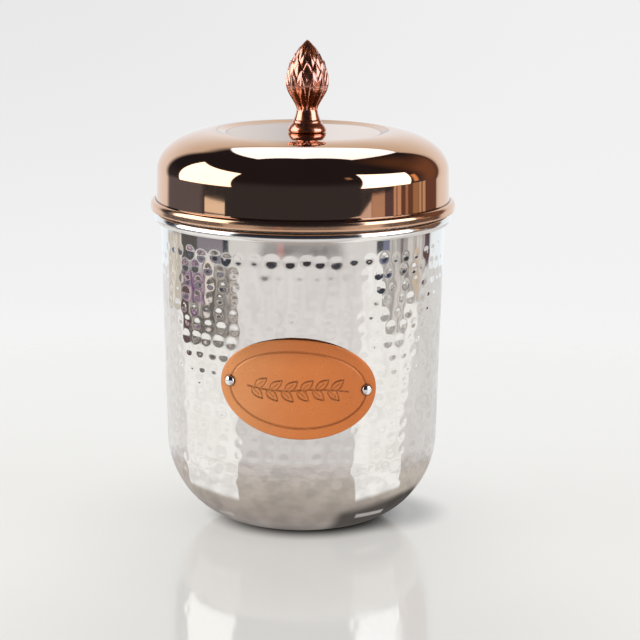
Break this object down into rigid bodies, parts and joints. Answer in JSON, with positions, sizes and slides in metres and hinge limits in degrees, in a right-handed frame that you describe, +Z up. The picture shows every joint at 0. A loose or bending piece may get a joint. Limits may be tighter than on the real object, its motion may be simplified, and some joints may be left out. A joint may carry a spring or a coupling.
{
  "type": "storage canister",
  "caption": "Round hammered-metal canister with a bowl-shaped foot, a riveted oval front plate and a lift-off domed lid with a pinecone finial.",
  "frame": {"origin": "centre of the flat foot, on the plane it stands on", "axes": "+Z up along the can's axis, -Y out of the oval plate, +X to the right seen from the front"},
  "size_m": [0.1502, 0.1502, 0.2389],
  "materials": {
    "hammered_steel": "mirror-polished stainless steel with hammered dimples",
    "polished_copper": "polished copper",
    "satin_copper": "satin copper with an engraved line",
    "rivet_steel": "polished",
    "inner_steel": "satin stainless steel",
    "zinc_plate": "bright zinc plating",
    "silicone": "translucent matte silicone"
  },
  "bodies": {
    "can": {"can_body": "hammered_steel", "label_plate": "satin_copper", "label_rivet_left": "rivet_steel", "label_rivet_right": "rivet_steel", "rivet_washer_left": "rivet_steel", "rivet_washer_right": "rivet_steel"},
    "lid": {"lid_dome": "polished_copper", "lid_sleeve": "inner_steel", "lid_seal": "silicone", "finial": "polished_copper", "finial_screw": "zinc_plate", "finial_washer": "zinc_plate", "finial_lock_washer": "zinc_plate"}
  },
  "joints": [
    {"name": "lid_lift", "type": "slide", "parent": "can", "child": "lid", "axis": [0, 0, 1], "range_m": [0, 0.1]}
  ]
}
